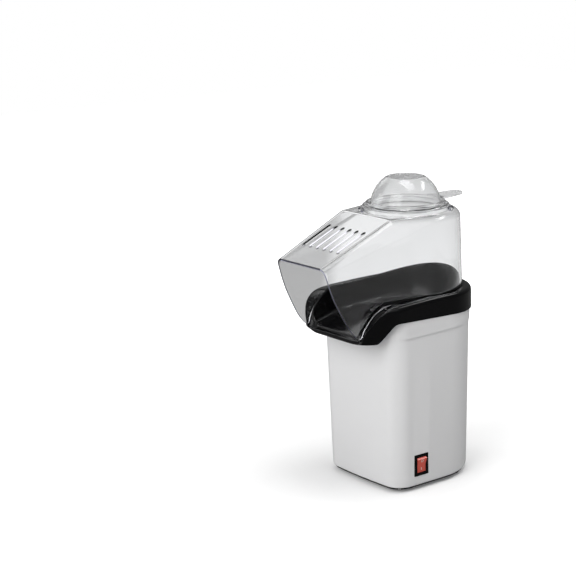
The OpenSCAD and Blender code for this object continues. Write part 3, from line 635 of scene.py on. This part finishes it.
# %% [markdown]
# ## One section of the collar
# The collar's section changes as it goes round: a flat land, the groove that the hood stands
# in, a ridge inside it, and the fall to the opening over the chamber. So each section is worked
# out for its own direction from the popper's axis. Its corners are given first, each with the
# reach of its rounding, and then every corner becomes a small curve.

# %% Distances and rounded corners
SLIGHT = 1e-6


def reach(line, a):
    """Distance from the popper's axis to a closed line in the direction a."""
    p = np.array(line) - (0, AXIS_Y)
    e = np.roll(p, -1, 0) - p
    u = np.array((math.cos(a), math.sin(a)))
    k = u[0] * e[:, 1] - u[1] * e[:, 0]
    k[np.abs(k) < 1e-9] = 1e-9
    t = (p[:, 0] * e[:, 1] - p[:, 1] * e[:, 0]) / k
    s = (p[:, 0] * u[1] - p[:, 1] * u[0]) / k
    return t[(t > 0) & (s > -SLIGHT) & (s < 1 + SLIGHT)].max()


def rounded(points, radii, steps=5):
    """Each corner of a closed chain of points becomes a small curve of the given reach."""
    made, count = [], len(points)
    for i, radius in enumerate(radii):
        corner = np.array(points[i], float)
        arms = [np.array(points[j % count], float) - corner for j in (i - 1, i + 1)]
        lengths = [max(SLIGHT, np.linalg.norm(arm)) for arm in arms]
        starts = [corner + a * min(0.48, radius / n) for a, n in zip(arms, lengths)]
        for t in np.linspace(0, 1, steps + 1):
            ends = (1 - t) ** 2 * starts[0] + t * t * starts[1]
            made.append(ends + 2 * t * (1 - t) * corner)
    return made


groove_outside, groove_inside = hood_line(-0.5), hood_line(HOOD_WALL + 0.5)
print("groove", round(reach(groove_outside, 0) - reach(groove_inside, 0), 2), "mm wide")

# %% The section at one point of the outline
MOUTH_R, MOUTH_TOP, MOUTH_FOOT, MOUTH_FLANGE = 37.5, 167.5, 165.5, 8.5
JOINT_Z, JOINT_DROP = 171, 0.035  # the line between casing and collar, and its slope
FOOT_FALL, LIP_FROM, LIP_TO = (55, 71), 60, 88  # how far forward the foot falls, the lip begins
SIDE_X, SIDE_Y = (30, 42), (-70, -60)  # the groove ends across the spout, between these
LAND_FALL, CREST = (-50, -10), (20, 64)  # where the outer land falls, and the crest is rounder
GUARD_RISE, GUARD_BEND = 12, 1.6  # the ridge rises behind the chamber
CHANNEL_START, CHANNEL_SLOPE, CHANNEL_LIFT = -38, 0.2, 0.6


def collar_section(x, y):
    a = math.atan2(y - AXIS_Y, x)
    outer = math.hypot(x, y - AXIS_Y)
    top, low = rim_top(y), ramp(-y, *FOOT_FALL)
    front = ramp(-y, LIP_FROM, LIP_TO)

    def foot_at(y_here):
        joint = JOINT_Z - JOINT_DROP * y_here
        return joint + 0.05 + (SPOUT_FOOT - joint) * ramp(-y_here, *FOOT_FALL)

    foot = foot_at(y)
    r1 = min(reach(groove_outside, a), outer - between(4.6, 2.8, front))
    r2 = min(reach(groove_inside, a), r1 - 2.6)
    y1, y2 = AXIS_Y + r1 * math.sin(a), AXIS_Y + r2 * math.sin(a)
    side = max(ramp(abs(x), *SIDE_X), ramp(y, *SIDE_Y))

    def land(y_here, height=GROOVE):
        return between(LIP_Z, hood_foot(y_here) + height, side)

    outer_land = land(y1, GROOVE * ramp(y1, *LAND_FALL))
    depth = (GROOVE + between(0.9, 1.6, front)) * side
    ridge = land(y2) + 1.5 * side + GUARD_RISE * max(0, math.sin(a)) ** GUARD_BEND
    rw = max(MOUTH_R + 3.5, r2 - between(6.7, 3.7, front))
    channel = max(0, CHANNEL_START - (AXIS_Y + rw * math.sin(a)))
    floor = MOUTH_TOP - CHANNEL_SLOPE * channel + CHANNEL_LIFT
    under = max(top - 9, foot + 1.2)
    crest = 4 * (1 - front) * ramp(-y, *CREST)
    edge = min(between(5, 2.7, front) + crest, (top - foot) / 2)
    skirt = (x * (1 - 0.2 * low), y + 3 * low * front)
    skirt_r = math.hypot(skirt[0], skirt[1] - AXIS_Y)
    outer_low = between(skirt_r, outer, (under - foot) / (top - foot))
    share = COLLAR_WALL / outer
    inside = (skirt[0] * (1 - share), between(skirt[1], AXIS_Y, share))

    def at(r, z):
        return (r * math.cos(a), AXIS_Y + r * math.sin(a), z)

    corners = [
        ((*skirt, foot), 0.5),
        (at(outer, top), edge),
        (at(r1, min(outer_land, top)), 0.6),
        (at(r1, min(land(y1) - depth, outer_land - 0.3, top - 0.3)), 0.3),
        (at(r2, land(y2) - depth), 0.3),
        (at(r2 - 0.1, ridge), 1.0),
        (at(r2 - 2.4, ridge - 0.6), 1.6),
        (at(rw + 2.6 - front, between(floor, ridge, 0.42)), 5),
        (at(rw, floor), 4),
        (at(MOUTH_R, MOUTH_TOP), 1.4),
        (at(MOUTH_R, MOUTH_FOOT), 0.3),
        (at(MOUTH_R + MOUTH_FLANGE, MOUTH_FOOT), 0.3),
        (at(rw + 1.8, min(MOUTH_FOOT, floor - COLLAR_WALL)), 1),
        (at(r2 - 2, under), 1),
        (at(outer_low - COLLAR_WALL - 0.3, under), 1),
        ((*inside, foot_at(inside[1])), 0.3),
    ]
    return rounded([point for point, _ in corners], [radius for _, radius in corners])


print("section at the back has", len(collar_section(0, COLLAR_BACK)), "points")

# %% Join the sections into the collar
sections = [collar_section(x, y) for x, y in collar_outline()]
collar_points = [point for section in sections for point in section]
collar_faces = list(tube_faces(len(sections), len(sections[0])))
collar = shape_from("collar_shape", collar_points, collar_faces)
settle(collar, "pouring_collar", "black_gloss_plastic", "base", 40)
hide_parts("collar")
print(len(collar.data.polygons), "faces on the collar")

# %% [markdown]
# ## Screw bosses
# Four screws come up from the heater housing's flange into blind bosses under the collar, and
# the bosses' round tops show in its floor. One boss is turned as a lathe would do it, and
# Geometry Nodes set a copy of it at each place on a circle. The steam slots further down repeat
# too, in a row, so the steps that both trees share are written once.

# %% Trees that repeat a shape
def repeating_tree(name, inputs, places):
    """A copy of one shape on every point that places(tree, start) gives."""
    tree = bpy.data.node_groups.new(name, "GeometryNodeTree")
    shape_input = {"Shape": ("NodeSocketObject", None)}
    finish_input = {"Finish": ("NodeSocketMaterial", None)}
    start = add_inputs(tree, {**shape_input, **inputs, **finish_input})
    shape = put(tree, "GeometryNodeObjectInfo", {"Object": start["Shape"]}).outputs["Geometry"]
    copy_sockets = {"Points": places(tree, start), "Instance": shape}
    copies = put(tree, "GeometryNodeInstanceOnPoints", copy_sockets)
    real = put(tree, "GeometryNodeRealizeInstances", {"Geometry": copies.outputs[0]})
    paint_sockets = {"Geometry": real.outputs[0], "Material": start["Finish"]}
    painted = put(tree, "GeometryNodeSetMaterial", paint_sockets)
    put(tree, "NodeGroupOutput", {"Geometry": painted.outputs[0]})
    return tree


def on_a_circle(tree, start):
    circle_sockets = {"Vertices": start["Count"], "Radius": start["Radius"]}
    circle = put(tree, "GeometryNodeMeshCircle", circle_sockets)
    angle = put(tree, "ShaderNodeCombineXYZ", {2: start["Turn"]})
    turn_sockets = {"Geometry": circle.outputs[0], "Rotation": angle.outputs[0]}
    return put(tree, "GeometryNodeTransform", turn_sockets).outputs[0]


def in_a_row(tree, start):
    gaps = number_step(tree, "SUBTRACT", start["Count"], 1.0)
    length = number_step(tree, "MULTIPLY", gaps, start["Pitch"])
    half = number_step(tree, "MULTIPLY", length, -0.5)
    first = put(tree, "ShaderNodeCombineXYZ", {0: half}).outputs[0]
    step = put(tree, "ShaderNodeCombineXYZ", {0: start["Pitch"]}).outputs[0]
    row_sockets = {"Count": start["Count"], "Start Location": first, "Offset": step}
    return put(tree, "GeometryNodeMeshLine", row_sockets, mode="OFFSET").outputs[0]


print("repeating trees ready")


# %% Plain meshes from a tree
def grown(name, tree, values):
    """A plain mesh object from a tree and the values of its named inputs."""
    host = link_new(name, bpy.data.meshes.new(name))
    modifier = host.modifiers.new("grow", "NODES")
    modifier.node_group = tree
    sockets = {s.name: s.identifier for s in tree.interface.items_tree if s.in_out == "INPUT"}
    for key, value in values.items():
        modifier[sockets[key]] = value
    bpy.context.view_layer.update()
    evaluated = host.evaluated_get(bpy.context.evaluated_depsgraph_get())
    result = bpy.data.meshes.new_from_object(evaluated)
    host.modifiers.clear()
    host.data = result
    bpy.data.objects.remove(values["Shape"])
    return host


repeat_on_a_circle = repeating_tree("repeat_on_a_circle", {
    "Count": ("NodeSocketInt", 4),
    "Radius": ("NodeSocketFloat", 50.0),
    "Turn": ("NodeSocketFloat", 0.0),
}, on_a_circle)
repeat_in_a_row = repeating_tree("repeat_in_a_row", {
    "Count": ("NodeSocketInt", 6),
    "Pitch": ("NodeSocketFloat", 10.6),
}, in_a_row)
print("a tree for circles and a tree for rows")

# %% Turn one boss and repeat it
BOSSES, BOSS_RING, BOSS_TURN = 4, 51.2, math.radians(45)
BOSS_R, BOSS_FOOT, BOSS_TOP, BOSS_SOFT = 4, 163.2, 173, (2.4, 2)
NEAR_AXIS = 0.02  # the outline stays just off the axis it turns about
boss_outline = [(NEAR_AXIS, BOSS_FOOT), (BOSS_R, BOSS_FOOT)]
boss_outline += arc((BOSS_R - BOSS_SOFT[0], BOSS_TOP - BOSS_SOFT[1]), BOSS_SOFT, 0, 88, 8)
boss_outline += [(NEAR_AXIS, BOSS_TOP)]
boss_shape = lathe("boss_shape", boss_outline, steps=32, centre=(0, 0))
boss_values = {"Shape": boss_shape, "Count": BOSSES, "Radius": BOSS_RING, "Turn": BOSS_TURN}
bosses = grown("screw_bosses", repeat_on_a_circle, boss_values)
bosses.data.transform(Matrix.Translation((0, AXIS_Y, 0)))
settle(bosses, "screw_bosses", "black_gloss_plastic", "base", 40)
print(len(bosses.data.polygons), "faces on the bosses")

# %% [markdown]
# ## Hood
# The hood is a clear moulding: a drum over the chamber that runs out into a sloping chute. Its
# outside is the tightest skin over a round drum and four round corners, which Blender can wrap
# directly. The same skin, moved in by the wall, is cut away from it, and then everything
# outside the side view's outline.

# %% Wrap a skin over points, and cut one shape with another
def skin_over(name, points):
    bm = bmesh.new()
    for p in points:
        bm.verts.new(p)
    made = bmesh.ops.convex_hull(bm, input=list(bm.verts))
    left_over = made["geom_interior"] + made["geom_unused"]
    loose = {g for g in left_over if isinstance(g, bmesh.types.BMVert)}
    bmesh.ops.delete(bm, geom=list(loose), context="VERTS")
    bmesh.ops.dissolve_limit(
        bm, angle_limit=math.radians(0.4), verts=bm.verts, edges=bm.edges
    )
    mesh = bpy.data.meshes.new(name)
    bm.to_mesh(mesh)
    bm.free()
    return link_new(name, mesh)


def cut(target, tool, operation, mark=0):
    """A boolean that uses the tool up. Faces that it leaves take the mark of a cut edge."""
    for mesh in (target.data, tool.data):
        while len(mesh.materials) < len(EDGE_MARKS):
            mesh.materials.append(None)
    tool.data.polygons.foreach_set("material_index", [mark] * len(tool.data.polygons))
    step = target.modifiers.new("cut", "BOOLEAN")
    step.operation, step.solver, step.object = operation, "EXACT", tool
    evaluated = target.evaluated_get(bpy.context.evaluated_depsgraph_get())
    result = bpy.data.meshes.new_from_object(evaluated)
    target.modifiers.clear()
    target.data = result
    bpy.data.objects.remove(tool)
    return target


print("skin and cut ready")


# %% Extrusions and balls
def prism(name, outline, low, high, across=False):
    """A straight extrusion of an outline, upwards, or across for a side view."""
    count = len(outline)
    points = [(t, *p) if across else (*p, t) for t in (low, high) for p in outline]
    faces = [tuple(range(count)), tuple(range(2 * count - 1, count - 1, -1))]
    for i in range(count):
        k = (i + 1) % count
        faces.append((i, k, count + k, count + i))
    return shape_from(name, points, faces)


def ball_points(centre, radius, steps=56):
    points = []
    for i in range(steps):
        for j in range(1, steps // 2):
            a, b = 2 * math.pi * i / steps, math.pi * j / (steps // 2)
            x, y = radius * math.sin(b) * math.cos(a), radius * math.sin(b) * math.sin(a)
            points.append((centre[0] + x, centre[1] + y, centre[2] + radius * math.cos(b)))
    return points


print("extrusions and balls ready")

# %% The hood's two skins and its side view
HOOD_TOP, HOOD_SHOULDER, SOFT_R = 268, 256, 8
SHOULDER_IN = 1.4  # the drum draws in this much up to its shoulder
CHUTE_Z, CHUTE_REACH, CHUTE_HALF = 233, 122, 37
FOLD_CORNER = (CHUTE_HALF - 2.5, -40, HOOD_TOP - SOFT_R)
MOUTH_CORNER = (CHUTE_HALF - 7, 4.2 - CHUTE_REACH, CHUTE_Z - 7.3)
SIDE_CORNERS = (
    (41.5, -84.5, 157), (39.7, -101, 176), (38.1, -111.5, 193), (37.5, -118.5, 209)
)


def hood_skin(inset):
    r = DRUM_R - inset
    profile = [(r, 150), (r, 190), (r - SHOULDER_IN, HOOD_SHOULDER)]
    shoulder = (r - SHOULDER_IN - SOFT_R, HOOD_TOP - SOFT_R)
    profile += arc(shoulder, (SOFT_R, SOFT_R - inset), 0, 90, 12)
    points = lathe_points(profile, 160, (0, AXIS_Y))
    for s in (-1, 1):
        for x, y, z in (FOLD_CORNER, MOUTH_CORNER):
            points += ball_points((s * x, y, z), SOFT_R - inset)
        for x, y, z in SIDE_CORNERS:
            ring = arc((s * (x - inset), y), (0.5, 0.5), 0, 345, 23)
            points += [(*p, h) for p in ring for h in (z, z + 2)]
    return skin_over("hood_skin", points)


BACK_Y, ABOVE = 80, 290  # well outside the hood
hood_side = [(BACK_Y, hood_foot(0)), (SWEEP_START, hood_foot(0))]
hood_side += [(y, hood_foot(y) + 0.5) for y in np.arange(-51.0, -82.1, -0.75)]
hood_side += [  # round the tip at the spout's side, and up the mouth's edge
    (-83.1, 162.5), (-83.9, 161.3), (-85.0, 160.6), (-86.3, 160.5), (-87.6, 160.9),
    (-88.8, 161.9), (-90.2, 163.3), (-92.4, 165.7), (-94.8, 168.6), (-97.2, 172),
    (-99.7, 176.2), (-102.8, 181.9), (-106, 188), (-109.3, 194.5), (-112.5, 201.5),
    (-115, 208), (-117, 214), (-119, 220.6), (-120.6, 226), (-CHUTE_REACH, 231),
]
hood_side += [(-CHUTE_REACH, ABOVE), (BACK_Y, ABOVE)]
hood = cut(hood_skin(0), hood_skin(HOOD_WALL), "DIFFERENCE")
cut(hood, prism("side_view", hood_side, -80, 80, across=True), "INTERSECT", 1)
print(len(hood.data.polygons), "faces on the hood's walls")

# %% [markdown]
# ## Steam slots, vents and neck
# Six slots in the chute let the steam out. They repeat, so Geometry Nodes place one slot at
# each point of a row, and the plain mesh that comes out is used as the cutter. Two short vents
# beside the neck are cut along its circle. The neck itself is turned on a lathe and joined
# last, so that its ring stays whole.

# %% Cut the slots and the vents, and join the neck
SLOTS, SLOT_PITCH, SLOT_R, SLOT_ENDS = 6, 10.6, 2, (-66.5, -96.5)
slot_outline = arc((0, SLOT_ENDS[0]), (SLOT_R, SLOT_R), 0, 180, 12)
slot_outline += arc((0, SLOT_ENDS[1]), (SLOT_R, SLOT_R), 180, 360, 12)
slot_shape = prism("slot_shape", slot_outline, 230, ABOVE)
slot_values = {"Shape": slot_shape, "Count": SLOTS, "Pitch": SLOT_PITCH}
cut(hood, grown("slot_cutter", repeat_in_a_row, slot_values), "DIFFERENCE", 2)

NECK_R, NECK_RISE = 37, 5.5
VENT_R, VENT_WIDTH, VENT_TURN, VENT_STARTS = 44.2, 2.4, 32, (29, 222)


def round_outline(radius, first, last, steps):
    return arc((0, AXIS_Y), (radius, radius), first, last, steps)


neck_hole = round_outline(VENT_R - 1.8, 0, 357.5, 143)
cut(hood, prism("neck_cutter", neck_hole, 250, ABOVE), "DIFFERENCE")
for start in VENT_STARTS:
    vent = round_outline(VENT_R + VENT_WIDTH, start, start + VENT_TURN, 32)
    vent += round_outline(VENT_R, start + VENT_TURN, start, 32)
    cut(hood, prism("vent", vent, HOOD_TOP - 5, HOOD_TOP + 3), "DIFFERENCE", 1)
neck_outside = [  # in from the vents' radius, and up from the hood's top
    (0.9, -HOOD_WALL), (0.9, 2.2), (1.1, 3.3), (1.8, 4.4), (2.8, 5.1), (4, 5.45), (4.6, 5.5)
]
neck_ledge = [(0.3, 0), (0, -0.3), (0, -1.3), (0.3, -1.6)]  # out from the neck's radius
neck_inside = [(4.8, 3.9), (3.3, 3.4), (2.6, 2.3), (2.6, -HOOD_WALL)]
neck = [(VENT_R - x, HOOD_TOP + z) for x, z in neck_outside]
neck += [(NECK_R + x, HOOD_TOP + NECK_RISE + z) for x, z in neck_ledge]
neck += [(VENT_R - x, HOOD_TOP + z) for x, z in neck_inside]
cut(hood, lathe("neck_ring", neck), "UNION")
settle(hood, "clear_hood", "clear_plastic", "hood", 28)
hood.modifiers.new("flat_faces_stay_flat", "WEIGHTED_NORMAL").keep_sharp = True
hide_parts("hood")
print(len(hood.data.polygons), "faces on the hood")

# %% [markdown]
# ## Measuring cup
# The cup is turned upside down to close the neck: a dome with a flat disc at its end, a flange
# that rests on the neck, a skirt inside it and a thumb tab at the back. A lathe makes all but
# the tab. The disc is two flat faces, because a fan of thin triangles would shade unevenly.

# %% Turn the cup
CUP_TOP, CUP_R, CUP_WALL, BALL_R = 300, 36, 1.6, 35
CUP_RIM = HOOD_TOP + NECK_RISE
BALL_Z = CUP_TOP - 30
DOME_FOOT = 2.4  # the dome starts this far above the rim


def dome(radius, last_z, steps=26):
    first = math.degrees(math.asin((CUP_RIM + DOME_FOOT - BALL_Z) / radius))
    last = math.degrees(math.asin((last_z - BALL_Z) / radius))
    return arc((0, BALL_Z), (radius, radius), first, last, steps)


cup_outline = [  # skirt and flange, out from the cup's radius and up from its rim
    (CUP_R + x, CUP_RIM + z)
    for x, z in ((-CUP_WALL, -5), (0, -5), (0, 0), (2.7, 0), (3, 0.4), (3, 1.7), (2.6, 2.1))
]
cup_outline += dome(BALL_R, CUP_TOP - 1)
cup_outline += [(17.9, CUP_TOP - 0.45), (17.5, CUP_TOP - 0.1), (17, CUP_TOP)]
disc_at = len(cup_outline) - 1
cup_outline += list(reversed(dome(BALL_R - CUP_WALL, CUP_TOP - CUP_WALL)))
cup = lathe("cup", cup_outline, flat_after=disc_at)
print(len(cup.data.polygons), "faces on the cup without its tab")

# %% Join the thumb tab
TAB_TURN, TAB_REACH, TAB_SLOPE, TAB_THICK = -10, 63.9, 4, 2
TAB_END_R, TAB_ROOT_R = 10, 13
tab_outline = arc((0, TAB_REACH - CUP_R - TAB_END_R), (TAB_END_R, TAB_END_R), 5, 175, 28)
tab_outline += arc((0, 0), (TAB_ROOT_R, TAB_ROOT_R), 175, 365, 30)
tab = prism("tab", tab_outline, 0, TAB_THICK)
tab.data.transform(
    Matrix.Translation((0, AXIS_Y, CUP_RIM + 1.6))
    @ Matrix.Rotation(math.radians(TAB_TURN), 4, "Z")
    @ Matrix.Translation((0, CUP_R, 0))
    @ Matrix.Rotation(math.radians(TAB_SLOPE), 4, "X")
)
tab_root = round_outline(CUP_R - 2.4, 0, 357, 119)
cut(tab, prism("tab_root", tab_root, CUP_RIM - 5, CUP_RIM + 9), "DIFFERENCE")
cut(cup, tab, "UNION")
settle(cup, "measuring_cup_dome", "clear_cup_plastic", "cup", 28)
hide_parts("measuring_cup")
print(len(cup.data.polygons), "faces on the cup")
